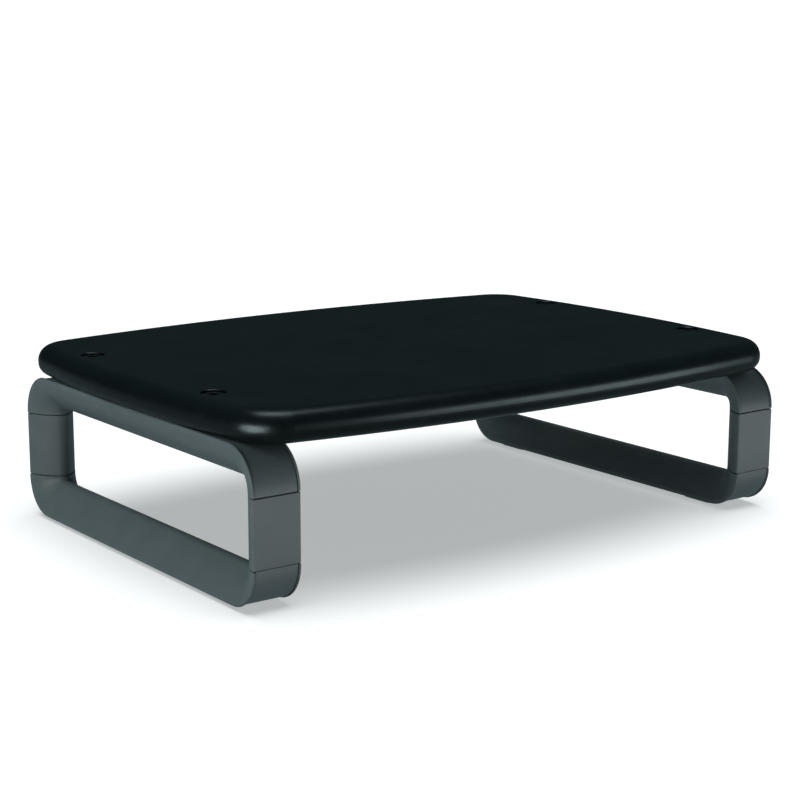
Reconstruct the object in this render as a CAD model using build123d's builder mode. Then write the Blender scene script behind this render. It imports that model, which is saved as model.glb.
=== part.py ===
"""Monitor riser: a bullnosed platform standing on two loop-shaped legs.

Seen from the side each leg is a rounded rectangle. It comes apart into an arch that is screwed under
the platform, a spacer for each column, and a base. The sections plug together, so that spacers can
be added or left out to change the height. The leg's profile is flat on the outside of the loop and
tapers to a rounded nose on the inside. The arch and the base are open channels, each closed by a
cover strip let into its flat outer face.

Frame: +X to the right, +Y to the back, +Z up, with the origin on the desk under the middle of the
platform. Sizes are in millimetres. A profile's depth is measured from the flat outer face inwards.
"""

from build123d import *
from math import atan2, sin, tan
import os

os.makedirs("parts", exist_ok=True)

# Platform
platform_width = 410.0
platform_depth = 305.0
platform_thickness = 19.0
side_bow = 10.65  # how far the middle of a short side stands out past the corners
front_bow = 17.45  # the same for a long side
platform_corner_radius = 29.0
top_rounding = 9.8
bottom_rounding = 8.0

# Heights of the stacked sections
foot_height = 2.0  # from the desk to the base
base_height = 24.0
spacer_height = 40.0
arch_height = 26.0

# Leg loop
leg_x = 182.7  # from the middle of the platform to the middle of a leg
loop_length = 270.0
arch_radius = 25.0
base_radius = 23.0

# Leg profile
leg_width = 30.4
shoulder_depth = 2.6  # where the straight sides turn into the tapering flanks
shoulder_rounding = 4.0
apex_depth = 22.0  # where the two flanks would meet without the nose
flank_bulge = 2.3
nose_radius = 6.0
rim_rounding = 0.9
wall = 2.4
spacer_inset = 0.1
seam_gap = 0.4  # the shadow line between two sections, which rest on each other further in
seam_chamfer = 0.3
landing_width = 12.0
landing_depth = 10.0
landing_corner = 1.8
channel_width = 22.8

# Cover strip let into the outer face of the arch and the base
cover_recess = 0.7  # how far the cover lies below the rims on either side of it
cover_thickness = 2.1
recess_width = 27.6
cover_gap = 0.25
rim_chamfer = 0.4
cover_rounding = 0.5
seat_gap = 0.05

# Plugs and sockets between the sections
plug_width = 9.7
plug_depth = 8.1
plug_corner = 1.5
plug_middle = 11.2  # depth of the plug's middle
plug_height = 11.5
plug_wall = 2.0
plug_tip_chamfer = 0.6
socket_clearance = 0.15
socket_height = 12.5
end_block = 14.0  # height of the solid end of an arch that holds a socket
base_end_block = 4.0  # thickness of the solid end of a base that carries a plug
spacer_plate = 2.2
spacer_slot_width = 20.0
spacer_slot_depth = 3.0

# Platform screws and their threaded inserts
screw_y = 71.5
clearance_radius = 3.3
counterbore_radius = 7.4
counterbore_depth = 3.7
counterbore_chamfer = 0.4
screw_radius = 3.0
screw_length = 28.0
screw_head_radius = 6.9
screw_head_height = 2.5
screw_head_rounding = 0.8
screw_tip_chamfer = 0.8
hex_across_flats = 6.0
hex_depth = 2.0
insert_radius = 3.95
insert_length = 12.0
insert_bore_radius = 3.02
insert_groove = 0.35
insert_groove_width = 1.2
insert_gap = 0.4  # from the top of the boss to the insert
boss_radius = 6.2
boss_hole_radius = 4.0
boss_hole_depth = 14.0
boss_clearance = 0.3

# Screws that hold the cover strips
arch_cover_screw_y = 30.0
base_cover_screw_y = 50.0
cover_screw_radius = 1.45
cover_screw_hole_radius = 1.5
cover_screw_clearance_radius = 1.7
cover_screw_head_radius = 2.8
cover_screw_head_height = 1.35
cover_screw_length = 9.0
cover_boss_radius = 3.6
cross_width = 0.8
cross_length = 3.2
cross_depth = 0.9

# Feet
foot_width = 21.0
foot_length = 26.0
foot_corner = 4.0
foot_y = 95.0
foot_pocket = 1.0
foot_pocket_gap = 0.2
foot_edge = 0.5

# Stiffening ribs across the channels
rib_thickness = 1.8
arch_ribs = (-95.0, -50.0, 0.0, 50.0, 95.0)
base_ribs = (-95.0, -72.0, -25.0, 25.0, 72.0, 95.0)

# Levels and lengths worked out from the above
base_bottom = foot_height
base_top = base_bottom + base_height
spacer_top = base_top + spacer_height
arch_top = spacer_top + arch_height
platform_top = arch_top + platform_thickness
half_length = loop_length / 2
cover_inside = cover_recess + cover_thickness
screw_head_bottom = platform_top - counterbore_depth
foot_top = base_bottom + cover_recess + foot_pocket
taper = atan2(leg_width / 2, apex_depth - shoulder_depth)  # between a flank and the leg's depth
reach = 1.0  # how far a cutting shape runs past the face it opens

SIDES = {"left": -leg_x, "right": leg_x}
ENDS = {"front": -1, "rear": 1}
ARCH = 1  # an arch's flat face looks up
BASE = -1  # a base's flat face looks down


def save(piece, name):
    """Label a finished piece and write it as its own file."""
    piece.label = name
    export_step(piece, f"parts/{name}.step")


def leg_profile(plane, inset=0.0):
    """The leg's outline, or one that lies a little inside it.

    The flat face is parallel to the plane's X axis and the nose points towards its +Y.
    """
    half = leg_width / 2 - inset
    shoulder = shoulder_depth - inset * tan(taper / 2)
    apex = apex_depth - inset / sin(taper)
    with BuildSketch(plane) as outline:
        with BuildLine():
            SagittaArc((half, shoulder), (0, apex), -flank_bulge)
            SagittaArc((0, apex), (-half, shoulder), -flank_bulge)
            Polyline((-half, shoulder), (-half, inset), (half, inset), (half, shoulder))
        make_face()
        fillet(outline.vertices().sort_by(Axis.Y)[-1], nose_radius - inset)
        fillet(outline.vertices().sort_by(Axis.Y)[2:4], shoulder_rounding - inset)
        fillet(outline.vertices().sort_by(Axis.Y)[:2], rim_rounding - inset)
    return outline.sketch


def channel_profile(plane):
    """The hollow inside the leg's walls, behind the cover strip."""
    half = channel_width / 2
    apex = apex_depth - wall / sin(taper)
    shoulder = apex - half / tan(taper)
    with BuildSketch(plane) as hollow:
        with BuildLine():
            SagittaArc((half, shoulder), (0, apex), -flank_bulge)
            SagittaArc((0, apex), (-half, shoulder), -flank_bulge)
            Polyline((-half, shoulder), (-half, cover_inside), (half, cover_inside), (half, shoulder))
        make_face()
        fillet(hollow.vertices().sort_by(Axis.Y)[-1], nose_radius - wall)
    return hollow.sketch


def recess_profile(plane):
    """The groove for the cover strip, with its rims' inner edges chamfered."""
    half = recess_width / 2
    with BuildSketch(plane) as groove:
        with BuildLine():
            Polyline(
                (-half, cover_inside),
                (-half, rim_chamfer),
                (-half - rim_chamfer - reach, -reach),
                (half + rim_chamfer + reach, -reach),
                (half, rim_chamfer),
                (half, cover_inside),
                close=True,
            )
        make_face()
    return groove.sketch


def cover_profile(plane):
    """The cover strip, rounded along its outer edges."""
    with BuildSketch(plane) as strip:
        with Locations((0, cover_recess)):
            Rectangle(
                recess_width - 2 * cover_gap,
                cover_thickness - seat_gap,
                align=(Align.CENTER, Align.MIN),
            )
        fillet(strip.vertices().group_by(Axis.Y)[0], cover_rounding)
    return strip.sketch


def carried_round(profile, x, level, radius, seam, way):
    """Carry a profile along a leg section: up a column, round a corner, along the bar and down again.

    level is the height of the flat face along the bar and seam that of the column ends. way is ARCH
    or BASE.
    """
    straight = half_length - radius
    axis_level = level - way * radius
    with BuildPart() as solid:
        extrude(profile(Plane((x, 0, level), (1, 0, 0), (0, way, 0))), amount=straight, both=True)
        for end in ENDS.values():
            corner = Plane((x, end * straight, level), (1, 0, 0), (0, way, 0))
            turn = Axis((x, end * straight, axis_level), (-way * end, 0, 0))
            revolve(profile(corner), axis=turn, revolution_arc=90)
            column = Plane((x, end * half_length, axis_level), (1, 0, 0), (0, 0, -end))
            extrude(profile(column), amount=abs(axis_level - seam), dir=(0, 0, -way))
    return solid.part


def upright(x, end, level, depth):
    """A horizontal plane over a column, its origin at the given depth behind the column's face."""
    return Plane((x, end * (half_length - depth), level), (1, 0, 0), (0, 0, 1))


def rounded_bar(plane, width, depth, corner, height):
    """A rounded rectangular peg, standing on its plane. A negative height makes it hang."""
    with BuildPart() as peg:
        with BuildSketch(plane):
            RectangleRounded(width, depth, corner)
        extrude(amount=height)
    return peg.part


def plug(x, end, level):
    """The peg on top of a column, chamfered round its tip."""
    with BuildPart() as peg:
        middle = upright(x, end, level, plug_middle)
        add(rounded_bar(middle, plug_width, plug_depth, plug_corner, plug_height))
        chamfer(peg.faces().sort_by(Axis.Z)[-1].edges(), plug_tip_chamfer)
    return peg.part


def socket(x, end, level, height):
    """The hole in a column that a plug goes into."""
    return rounded_bar(
        upright(x, end, level, plug_middle),
        plug_width + 2 * socket_clearance,
        plug_depth + 2 * socket_clearance,
        plug_corner + socket_clearance,
        height,
    )


def countersunk_screws(spots, plane, name):
    """Small cross-headed screws. The plane lies on the heads and its Z axis points out of them."""
    with BuildPart() as screws:
        for x, y in spots:
            head = Plane((x, y, plane.origin.Z), plane.x_dir, plane.z_dir)
            with BuildSketch(Plane(head.origin, plane.x_dir, (0, plane.z_dir.Z, 0))) as half:
                with BuildLine():
                    Polyline(
                        (0, 0),
                        (cover_screw_head_radius, 0),
                        (cover_screw_radius, cover_screw_head_height),
                        (cover_screw_radius, cover_screw_length - cover_screw_radius),
                        (0, cover_screw_length),
                        close=True,
                    )
                make_face()
            revolve(half.sketch, axis=Axis(head.origin, head.z_dir))
            with BuildSketch(head) as cross:
                Rectangle(cross_length, cross_width)
                Rectangle(cross_width, cross_length)
            extrude(cross.sketch, amount=-cross_depth, mode=Mode.SUBTRACT)
    save(screws.part, name)


# The platform, with a bowed outline, a bullnosed edge and a counterbored hole over each end of a leg
corner_x = platform_width / 2 - side_bow
corner_y = platform_depth / 2 - front_bow
screw_spots = [(x, end * screw_y) for x in SIDES.values() for end in ENDS.values()]
with BuildPart() as platform:
    with BuildSketch(Plane.XY.offset(arch_top)) as outline:
        with BuildLine():
            front = ThreePointArc((-corner_x, -corner_y), (0, -platform_depth / 2), (corner_x, -corner_y))
            side = ThreePointArc((corner_x, -corner_y), (platform_width / 2, 0), (corner_x, corner_y))
            mirror(front, about=Plane.XZ)
            mirror(side, about=Plane.YZ)
        make_face()
        fillet(outline.vertices(), platform_corner_radius)
    extrude(amount=platform_thickness)
    fillet(platform.faces().sort_by(Axis.Z)[-1].edges(), top_rounding)
    fillet(platform.faces().sort_by(Axis.Z)[0].edges(), bottom_rounding)
    with Locations(*[(x, y, platform_top) for x, y in screw_spots]):
        CounterBoreHole(clearance_radius, counterbore_radius, counterbore_depth, platform_thickness)
    rims = platform.edges().filter_by(GeomType.CIRCLE).group_by(Axis.Z)[-1]
    chamfer(rims.filter_by(lambda edge: abs(edge.radius - counterbore_radius) < 0.01), counterbore_chamfer)
save(platform.part, "platform")

# The four screws through the platform: a low wide head with a hexagon socket
with BuildPart() as platform_screws:
    for x, y in screw_spots:
        with BuildSketch(Plane.XY.offset(screw_head_bottom)) as head:
            with Locations((x, y)):
                Circle(screw_head_radius)
        extrude(head.sketch, amount=screw_head_height)
        with BuildSketch(Plane.XY.offset(screw_head_bottom)) as shank:
            with Locations((x, y)):
                Circle(screw_radius)
        extrude(shank.sketch, amount=-screw_length)
    fillet(platform_screws.edges().group_by(Axis.Z)[-1], screw_head_rounding)
    chamfer(platform_screws.edges().group_by(Axis.Z)[0], screw_tip_chamfer)
    for x, y in screw_spots:
        with BuildSketch(Plane.XY.offset(screw_head_bottom + screw_head_height)) as drive:
            with Locations((x, y)):
                RegularPolygon(hex_across_flats / 2, 6, major_radius=False)
        extrude(drive.sketch, amount=-hex_depth, mode=Mode.SUBTRACT)
save(platform_screws.part, "platform_screws")

# The threaded inserts in the arches, grooved round the outside
insert_top = arch_top - insert_gap
with BuildPart() as inserts:
    for x, y in screw_spots:
        with BuildSketch(Plane.XY.offset(insert_top)) as ring:
            with Locations((x, y)):
                Circle(insert_radius)
                Circle(insert_bore_radius, mode=Mode.SUBTRACT)
        extrude(ring.sketch, amount=-insert_length)
        for share in (0.25, 0.5, 0.75):
            groove_top = insert_top - share * insert_length + insert_groove_width / 2
            with BuildSketch(Plane.XY.offset(groove_top)) as groove:
                with Locations((x, y)):
                    Circle(insert_radius + reach)
                    Circle(insert_radius - insert_groove, mode=Mode.SUBTRACT)
            extrude(groove.sketch, amount=-insert_groove_width, mode=Mode.SUBTRACT)
save(inserts.part, "threaded_inserts")

for side, x in SIDES.items():
    # Arch shell: the channel, with a solid end over each column, ribs, and bosses for the inserts
    cover_bosses = [(x, -arch_cover_screw_y), (x, arch_cover_screw_y)]
    insert_bosses = [(x, -screw_y), (x, screw_y)]
    with BuildPart() as hollow:
        add(carried_round(channel_profile, x, arch_top, arch_radius, spacer_top, ARCH))
        with Locations((x, 0, spacer_top)):
            Box(leg_width, loop_length, 2 * end_block, mode=Mode.SUBTRACT)
        with Locations(*[(x, y, arch_top) for y in arch_ribs]):
            Box(leg_width, rib_thickness, 2 * arch_height, mode=Mode.SUBTRACT)
        with Locations(*[(cx, cy, arch_top) for cx, cy in cover_bosses]):
            Cylinder(cover_boss_radius, 2 * arch_height, mode=Mode.SUBTRACT)
        add(carried_round(recess_profile, x, arch_top, arch_radius, spacer_top - reach, ARCH))
        with Locations(*[(cx, cy, arch_top) for cx, cy in insert_bosses]):
            Cylinder(boss_radius, 2 * arch_height, mode=Mode.SUBTRACT)
    with BuildPart() as arch_shell:
        add(carried_round(leg_profile, x, arch_top, arch_radius, spacer_top, ARCH))
        chamfer(arch_shell.faces().group_by(Axis.Z)[0].edges(), seam_chamfer)
        add(hollow.part, mode=Mode.SUBTRACT)
        with Locations(*[(cx, cy, arch_top) for cx, cy in insert_bosses]):
            Hole(boss_hole_radius, boss_hole_depth)
        with Locations(*[(cx, cy, arch_top - cover_inside) for cx, cy in cover_bosses]):
            Hole(cover_screw_hole_radius, cover_screw_length)
        for end in ENDS.values():
            add(socket(x, end, spacer_top, socket_height), mode=Mode.SUBTRACT)
    save(arch_shell.part, f"{side}_arch_shell")

    # Arch cover: the strip, open round the insert bosses and countersunk for its screws
    with BuildPart() as arch_cover:
        add(carried_round(cover_profile, x, arch_top, arch_radius, spacer_top, ARCH))
        with Locations(*[(cx, cy, arch_top) for cx, cy in insert_bosses]):
            Hole(boss_radius + boss_clearance, 2 * cover_inside)
        with Locations(*[(cx, cy, arch_top - cover_recess) for cx, cy in cover_bosses]):
            CounterSinkHole(cover_screw_clearance_radius, cover_screw_head_radius + seat_gap)
    save(arch_cover.part, f"{side}_arch_cover")
    countersunk_screws(cover_bosses, Plane.XY.offset(arch_top - cover_recess), f"{side}_arch_cover_screws")

    # Spacers: a column with a socket from below and a plug on top, a little short of its neighbours
    # all round but for the landings that they rest on
    for place, end in ENDS.items():
        outer = Plane((x, end * half_length, base_top + seam_gap), (1, 0, 0), (0, 0, -end))
        with BuildPart() as spacer:
            extrude(leg_profile(outer, spacer_inset), amount=spacer_height - 2 * seam_gap, dir=(0, 0, 1))
            chamfer(spacer.faces().filter_by(Axis.Z).edges(), seam_chamfer)
            middle = upright(x, end, base_top, plug_middle)
            add(rounded_bar(middle, landing_width, landing_depth, landing_corner, spacer_height))
            add(plug(x, end, spacer_top))
            add(socket(x, end, base_top, spacer_height - spacer_plate), mode=Mode.SUBTRACT)
            plug_bore = rounded_bar(
                middle,
                plug_width - 2 * plug_wall,
                plug_depth - 2 * plug_wall,
                plug_corner / 2,
                spacer_height + plug_height - plug_wall,
            )
            add(plug_bore, mode=Mode.SUBTRACT)
            slot = rounded_bar(
                upright(x, end, base_top, wall + spacer_slot_depth / 2),
                spacer_slot_width,
                spacer_slot_depth,
                spacer_slot_depth / 3,
                spacer_height - spacer_plate,
            )
            add(slot, mode=Mode.SUBTRACT)
        save(spacer.part, f"{side}_{place}_spacer")

    # Base shell: the channel turned over, closed under each column and carrying a plug there
    cover_bosses = [(x, -base_cover_screw_y), (x, base_cover_screw_y)]
    with BuildPart() as hollow:
        add(carried_round(channel_profile, x, base_bottom, base_radius, base_top, BASE))
        with Locations((x, 0, base_top)):
            Box(leg_width, loop_length, 2 * base_end_block, mode=Mode.SUBTRACT)
        with Locations(*[(x, y, base_bottom) for y in base_ribs]):
            Box(leg_width, rib_thickness, 2 * base_height, mode=Mode.SUBTRACT)
        with Locations(*[(cx, cy, base_bottom) for cx, cy in cover_bosses]):
            Cylinder(cover_boss_radius, 2 * base_height, mode=Mode.SUBTRACT)
        add(carried_round(recess_profile, x, base_bottom, base_radius, base_top + reach, BASE))
    with BuildPart() as base_shell:
        add(carried_round(leg_profile, x, base_bottom, base_radius, base_top, BASE))
        chamfer(base_shell.faces().group_by(Axis.Z)[-1].edges(), seam_chamfer)
        add(hollow.part, mode=Mode.SUBTRACT)
        for cx, cy in cover_bosses:
            with BuildSketch(Plane.XY.offset(base_bottom)) as pilot:
                with Locations((cx, cy)):
                    Circle(cover_screw_hole_radius)
            extrude(pilot.sketch, amount=cover_inside + cover_screw_length, mode=Mode.SUBTRACT)
        for end in ENDS.values():
            add(plug(x, end, base_top))
    save(base_shell.part, f"{side}_base_shell")

    # Base cover: the strip, countersunk for its screws and pocketed for the feet
    underside = Plane((0, 0, base_bottom + cover_recess), (1, 0, 0), (0, 0, -1))
    with BuildPart() as base_cover:
        add(carried_round(cover_profile, x, base_bottom, base_radius, base_top, BASE))
        for cx, cy in cover_bosses:
            with Locations(Plane((cx, cy, underside.origin.Z), underside.x_dir, underside.z_dir)):
                CounterSinkHole(cover_screw_clearance_radius, cover_screw_head_radius + seat_gap)
        for end in ENDS.values():
            pocket = rounded_bar(
                Plane((x, end * foot_y, foot_top), underside.x_dir, underside.z_dir),
                foot_width + 2 * foot_pocket_gap,
                foot_length + 2 * foot_pocket_gap,
                foot_corner + foot_pocket_gap,
                foot_top,
            )
            add(pocket, mode=Mode.SUBTRACT)
    save(base_cover.part, f"{side}_base_cover")
    countersunk_screws(cover_bosses, underside, f"{side}_base_cover_screws")

    # Feet: rubber pads set into the base cover
    for place, end in ENDS.items():
        with BuildPart() as foot:
            with BuildSketch(Plane((x, end * foot_y, 0), (1, 0, 0), (0, 0, 1))):
                RectangleRounded(foot_width, foot_length, foot_corner)
            extrude(amount=foot_top)
            chamfer(foot.faces().sort_by(Axis.Z)[0].edges(), foot_edge)
        save(foot.part, f"{side}_{place}_foot")
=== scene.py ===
"""Monitor riser: the looks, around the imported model. Metres, +X right, +Y back, +Z up."""

from math import cos, pi, radians, sin

import bpy
from mathutils import Matrix, Vector


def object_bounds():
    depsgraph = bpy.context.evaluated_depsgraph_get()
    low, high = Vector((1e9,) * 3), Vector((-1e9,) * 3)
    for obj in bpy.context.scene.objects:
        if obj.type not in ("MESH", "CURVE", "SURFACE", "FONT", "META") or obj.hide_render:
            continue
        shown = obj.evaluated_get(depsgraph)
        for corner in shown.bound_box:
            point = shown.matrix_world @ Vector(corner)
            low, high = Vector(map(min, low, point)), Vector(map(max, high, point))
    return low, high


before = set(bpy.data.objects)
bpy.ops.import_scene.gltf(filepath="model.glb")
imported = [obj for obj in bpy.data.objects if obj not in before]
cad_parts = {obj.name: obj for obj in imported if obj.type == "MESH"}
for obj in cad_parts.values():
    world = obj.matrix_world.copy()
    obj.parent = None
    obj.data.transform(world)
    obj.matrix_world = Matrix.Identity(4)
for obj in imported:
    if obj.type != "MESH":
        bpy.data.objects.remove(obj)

cad_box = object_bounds()
low, high = (Vector(corner) for corner in cad_box)
centre = (low + high) / 2
HEIGHT = high.z - low.z
SIDES = ("left", "right")
PLACES = ("front", "rear")
MM = 0.001

# Camera
AZIMUTH = radians(36.58)
ELEVATION = radians(11.62)
ROLL = radians(0.14)
DISTANCE = 1.170
LENS = 81.8  # mm on a 36 mm sensor
AIM = Vector((centre.x + 0.0004, centre.y + 0.0035, low.z + 0.072))


# --- Node helpers -------------------------------------------------------------------------------

class Graph:
    """A material's node tree, with short ways to add nodes and link them."""

    def __init__(self, name):
        self.material = bpy.data.materials.new(name)
        self.material.use_nodes = True
        self.tree = self.material.node_tree
        self.shader = self.tree.nodes["Principled BSDF"]
        self.place = self.add("ShaderNodeTexCoord").outputs["Object"]

    def add(self, kind, **settings):
        node = self.tree.nodes.new(kind)
        for key, value in settings.items():
            setattr(node, key, value)
        return node

    def link(self, source, target):
        self.tree.links.new(source, target)

    def fixed(self, **values):
        """Set the shader's own sockets, such as IOR or Metallic."""
        for key, value in values.items():
            self.shader.inputs[key.replace("_", " ")].default_value = value

    def noise(self, size, detail=2.0, roughness=0.5):
        """Noise whose blobs are about size metres across."""
        node = self.add("ShaderNodeTexNoise")
        node.inputs["Scale"].default_value = 1.0 / size
        node.inputs["Detail"].default_value = detail
        node.inputs["Roughness"].default_value = roughness
        self.link(self.place, node.inputs["Vector"])
        return node.outputs["Fac"]

    def cells(self, size):
        """Rounded cells about size metres across."""
        node = self.add("ShaderNodeTexVoronoi")
        node.inputs["Scale"].default_value = 1.0 / size
        self.link(self.place, node.inputs["Vector"])
        return node.outputs["Distance"]

    def ramp(self, value, low_in, high_in, low_out, high_out):
        """The value moved from one range to another, and held to it."""
        node = self.add("ShaderNodeMapRange")
        for socket, number in zip(("From Min", "From Max", "To Min", "To Max"),
                                  (low_in, high_in, low_out, high_out)):
            node.inputs[socket].default_value = number
        self.link(value, node.inputs["Value"])
        return node.outputs["Result"]

    def blend(self, factor, first, second):
        """A colour between two, by factor."""
        node = self.add("ShaderNodeMix", data_type="RGBA")
        self.link(factor, node.inputs["Factor"])
        node.inputs["A"].default_value = (*first, 1.0)
        node.inputs["B"].default_value = (*second, 1.0)
        return node.outputs["Result"]

    def bump(self, height, depth, strength, under=None):
        """A normal from a height that spans depth metres, on top of another normal if there is one."""
        node = self.add("ShaderNodeBump")
        node.inputs["Strength"].default_value = strength
        node.inputs["Distance"].default_value = depth
        self.link(height, node.inputs["Height"])
        if under:
            self.link(under, node.inputs["Normal"])
        return node.outputs["Normal"]

    def colour(self, output):
        self.link(output, self.shader.inputs["Base Color"])

    def rough(self, output):
        self.link(output, self.shader.inputs["Roughness"])

    def normal(self, output):
        self.link(output, self.shader.inputs["Normal"])


# --- Materials ----------------------------------------------------------------------------------

def moulded_plastic(name, dark, light):
    """Dark grey plastic from a lightly eroded mould: fine even grain and a low sheen."""
    g = Graph(name)
    g.colour(g.blend(g.ramp(g.noise(14 * MM, 4), 0.3, 0.7, 0, 1), dark, light))
    g.rough(g.ramp(g.noise(2.5 * MM, 3), 0.3, 0.7, 0.38, 0.46))
    fine = g.bump(g.noise(0.35 * MM, 3, 0.6), 0.03 * MM, 0.6)
    g.normal(g.bump(g.noise(1.1 * MM, 2), 0.02 * MM, 0.4, fine))
    g.fixed(Specular_IOR_Level=0.42)
    return g.material


def board_laminate():
    """Black laminate with a faint leather-like mottling."""
    g = Graph("board_laminate")
    mottle = g.ramp(g.noise(45 * MM, 5, 0.6), 0.34, 0.66, 0, 1)
    g.colour(g.blend(mottle, (0.0032, 0.0063, 0.0069), (0.0052, 0.0093, 0.0101)))
    g.rough(g.ramp(g.noise(9 * MM, 4, 0.6), 0.3, 0.7, 0.28, 0.36))
    pores = g.bump(g.cells(1.1 * MM), 0.02 * MM, 0.3)
    g.normal(g.bump(g.noise(4 * MM, 3), 0.04 * MM, 0.25, pores))
    g.fixed(Specular_IOR_Level=0.14)
    return g.material


def metal(name, dark, light, roughness):
    """Bare or treated metal with a fine grain in its sheen."""
    grain = 0.4 * MM
    g = Graph(name)
    g.colour(g.blend(g.noise(3 * MM, 4), dark, light))
    g.rough(g.ramp(g.noise(grain, 3), 0.3, 0.7, roughness - 0.05, roughness + 0.05))
    g.normal(g.bump(g.noise(grain, 2), 0.01 * MM, 0.4))
    g.fixed(Metallic=1.0)
    return g.material


def foot_rubber():
    """Matt near-black rubber."""
    g = Graph("foot_rubber")
    g.colour(g.blend(g.noise(4 * MM, 4), (0.010, 0.010, 0.011), (0.020, 0.020, 0.021)))
    g.rough(g.ramp(g.noise(1.5 * MM, 3), 0.3, 0.7, 0.78, 0.9))
    g.normal(g.bump(g.noise(0.5 * MM, 3), 0.05 * MM, 0.5))
    return g.material


def dress(name, material):
    """Give a CAD node its material."""
    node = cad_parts[name]
    node.data.materials.clear()
    node.data.materials.append(material)


grey = moulded_plastic("leg_plastic", (0.0525, 0.070, 0.073), (0.0595, 0.078, 0.082))
cover_grey = moulded_plastic("cover_plastic", (0.0575, 0.077, 0.0805), (0.0645, 0.085, 0.0895))
black_steel = metal("blackened_steel", (0.045, 0.052, 0.055), (0.080, 0.089, 0.093), 0.34)
zinc = metal("zinc_plate", (0.52, 0.53, 0.54), (0.66, 0.67, 0.68), 0.32)
brass = metal("turned_brass", (0.62, 0.42, 0.16), (0.74, 0.53, 0.24), 0.3)
rubber = foot_rubber()

dress("platform", board_laminate())
dress("platform_screws", black_steel)
dress("threaded_inserts", brass)
for side in SIDES:
    dress(f"{side}_arch_shell", grey)
    dress(f"{side}_base_shell", grey)
    dress(f"{side}_arch_cover", cover_grey)
    dress(f"{side}_base_cover", cover_grey)
    dress(f"{side}_arch_cover_screws", zinc)
    dress(f"{side}_base_cover_screws", zinc)
    for place in PLACES:
        dress(f"{side}_{place}_spacer", grey)
        dress(f"{side}_{place}_foot", rubber)


# --- Stage --------------------------------------------------------------------------------------

def floor():
    """A plain white floor that runs out of sight and stays pale grey in the riser's shadow."""
    reach = 60.0
    glow_on_pieces = 0.25  # share of the floor's own light that reaches the pieces
    mesh = bpy.data.meshes.new("floor")
    corners = [(x, y, low.z) for x, y in ((-reach, -reach), (reach, -reach), (reach, reach), (-reach, reach))]
    mesh.from_pydata(corners, [], [(0, 1, 2, 3)])
    plane = bpy.data.objects.new("floor", mesh)
    bpy.context.scene.collection.objects.link(plane)
    g = Graph("floor_white")
    g.fixed(Base_Color=(0.86, 0.86, 0.86, 1.0), Roughness=1.0, Specular_IOR_Level=0.0)
    g.fixed(Emission_Color=(0.427, 0.446, 0.451, 1.0))
    seen = g.add("ShaderNodeLightPath").outputs["Is Camera Ray"]
    g.link(g.ramp(seen, 0, 1, glow_on_pieces, 1.0), g.shader.inputs["Emission Strength"])
    mesh.materials.append(g.material)
    plane.visible_glossy = False
    plane.visible_shadow = False
    return plane


def light(name, kind, power, spare):
    """A lamp that the camera doesn't see. spare lists objects that it doesn't light."""
    data = bpy.data.lights.new(name, kind)
    data.energy = power
    lamp = bpy.data.objects.new(name, data)
    bpy.context.scene.collection.objects.link(lamp)
    lamp.visible_camera = False
    spared = bpy.data.collections.new(name + "_spares")
    for piece in spare:
        spared.objects.link(piece)
    for entry in spared.collection_objects:
        entry.light_linking.link_state = "EXCLUDE"
    lamp.light_linking.receiver_collection = spared
    return lamp


def softbox(name, bearing, distance, middle, size, radiance, spare):
    """A rectangular softbox that faces the riser.

    bearing is degrees from the front towards the right, distance is along the floor, middle is its
    height and size is its width and height.
    """
    width, height = size
    lamp = light(name, "AREA", radiance * pi * width * height, spare)
    lamp.data.shape = "RECTANGLE"
    lamp.data.size = width
    lamp.data.size_y = height
    lamp.location = (distance * sin(radians(bearing)), -distance * cos(radians(bearing)), middle)
    facing = Vector((0, 0, HEIGHT / 2)) - lamp.location
    lamp.rotation_euler = facing.to_track_quat("-Z", "Y").to_euler()
    return lamp


def overhead(spare):
    """A wide light straight above, far enough off to light the whole floor alike."""
    lamp = light("overhead", "SUN", 2.35, spare)
    lamp.data.angle = radians(60)
    lamp.rotation_euler.x = radians(3)
    lamp.visible_glossy = False


def surroundings():
    """White behind the floor for the camera. The light it sheds is grey from below, dim above."""
    world = bpy.data.worlds.new("studio")
    bpy.context.scene.world = world
    world.use_nodes = True
    nodes, links = world.node_tree.nodes, world.node_tree.links
    nodes.clear()
    seen = nodes.new("ShaderNodeBackground")
    seen.inputs["Color"].default_value = (1, 1, 1, 1)
    seen.inputs["Strength"].default_value = 1.05
    shed = nodes.new("ShaderNodeBackground")
    direction = nodes.new("ShaderNodeTexCoord")
    split = nodes.new("ShaderNodeSeparateXYZ")
    links.new(direction.outputs["Generated"], split.inputs["Vector"])
    ramp = nodes.new("ShaderNodeValToRGB")
    ramp.color_ramp.elements[0].position = 0.44
    ramp.color_ramp.elements[0].color = (0.18, 0.245, 0.26, 1)
    ramp.color_ramp.elements[1].position = 0.50
    ramp.color_ramp.elements[1].color = (0.024, 0.038, 0.041, 1)
    level = nodes.new("ShaderNodeMapRange")
    level.inputs["From Min"].default_value = -1.0
    links.new(split.outputs["Z"], level.inputs["Value"])
    links.new(level.outputs["Result"], ramp.inputs["Fac"])
    links.new(ramp.outputs["Color"], shed.inputs["Color"])
    path = nodes.new("ShaderNodeLightPath")
    mix = nodes.new("ShaderNodeMixShader")
    out = nodes.new("ShaderNodeOutputWorld")
    links.new(path.outputs["Is Camera Ray"], mix.inputs["Fac"])
    links.new(shed.outputs["Background"], mix.inputs[1])
    links.new(seen.outputs["Background"], mix.inputs[2])
    links.new(mix.outputs["Shader"], out.inputs["Surface"])


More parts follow.
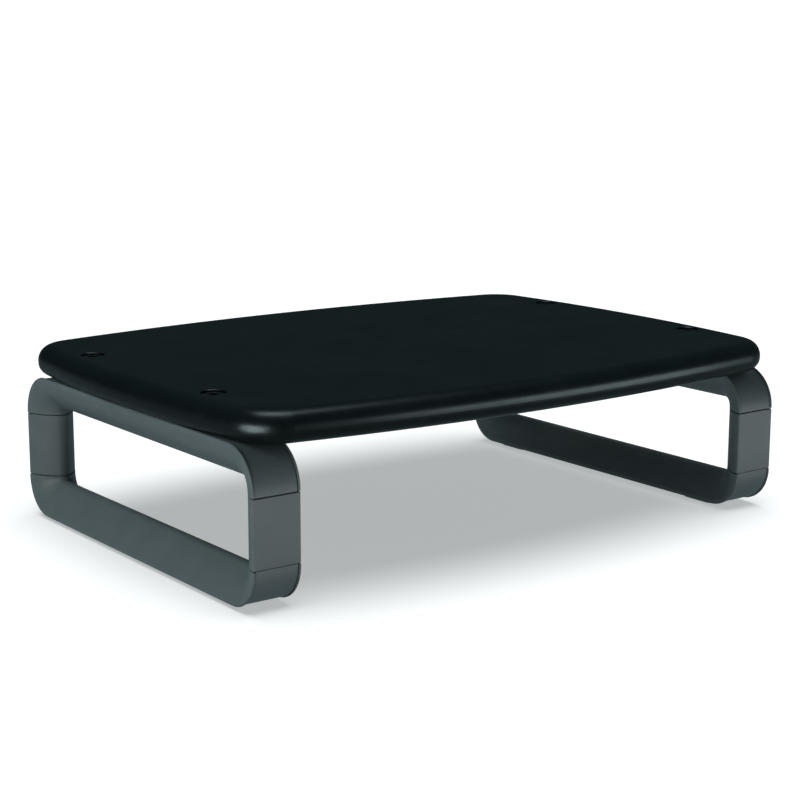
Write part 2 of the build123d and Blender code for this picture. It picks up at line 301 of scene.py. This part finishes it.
def camera():
    """The photograph's view."""
    data = bpy.data.cameras.new("camera")
    data.lens = LENS
    data.sensor_width = 36.0
    data.clip_end = 200.0
    eye = bpy.data.objects.new("camera", data)
    bpy.context.scene.collection.objects.link(eye)
    forward = Vector((sin(AZIMUTH) * cos(ELEVATION), cos(AZIMUTH) * cos(ELEVATION), -sin(ELEVATION)))
    turn = forward.to_track_quat("-Z", "Y").to_matrix() @ Matrix.Rotation(ROLL, 3, "Z")
    eye.matrix_world = Matrix.Translation(AIM - forward * DISTANCE) @ turn.to_4x4()
    bpy.context.scene.camera = eye


ground = floor()
surroundings()
camera()

# The legs and the platform are lit apart, each by lamps that spare the other and the floor.
top_pieces = [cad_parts["platform"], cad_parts["platform_screws"]]
leg_pieces = [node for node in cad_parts.values() if node not in top_pieces]
for_legs = [ground, *top_pieces]
for_top = [ground, *leg_pieces]
overhead(spare=leg_pieces)

# On the legs
softbox("left_of_legs", -105, 1.19, 0.8, (0.8, 0.6), 9.8, spare=for_legs).visible_glossy = False
softbox("right_of_legs", 105, 1.19, 0.8, (0.8, 0.6), 4.5, spare=for_legs).visible_glossy = False
softbox("low_left_of_legs", -80, 1.4, 0.25, (0.8, 0.4), 4.6, spare=for_legs)
softbox("rear_of_legs", 165, 1.6, 0.8, (1.4, 0.8), 5.5, spare=for_legs).visible_glossy = False
# Lies on the floor in front and shines straight up, like light thrown back by the floor
bounce = softbox("bounce_on_legs", 0, 0.47, low.z, (2.4, 0.6), 1.38, spare=for_legs)
bounce.rotation_euler = (pi, 0, 0)

# On the platform, as reflections only
corner_shine = softbox("corner_shine", -72, 1.2, 0.0, (1.1, 0.44), 19, spare=for_top)
corner_shine.data.shape = "ELLIPSE"
front_shine = softbox("front_shine", 37, 1.5, -0.02, (1.05, 0.38), 10, spare=for_top)
top_shine = softbox("top_shine", -37, 0.12, 1.6, (1.1, 0.7), 9, spare=for_top)
for lamp in (corner_shine, front_shine, top_shine):
    lamp.visible_diffuse = False
    lamp.data.color = (0.76, 0.95, 1.0)

bpy.context.scene.view_settings.view_transform = "Standard"
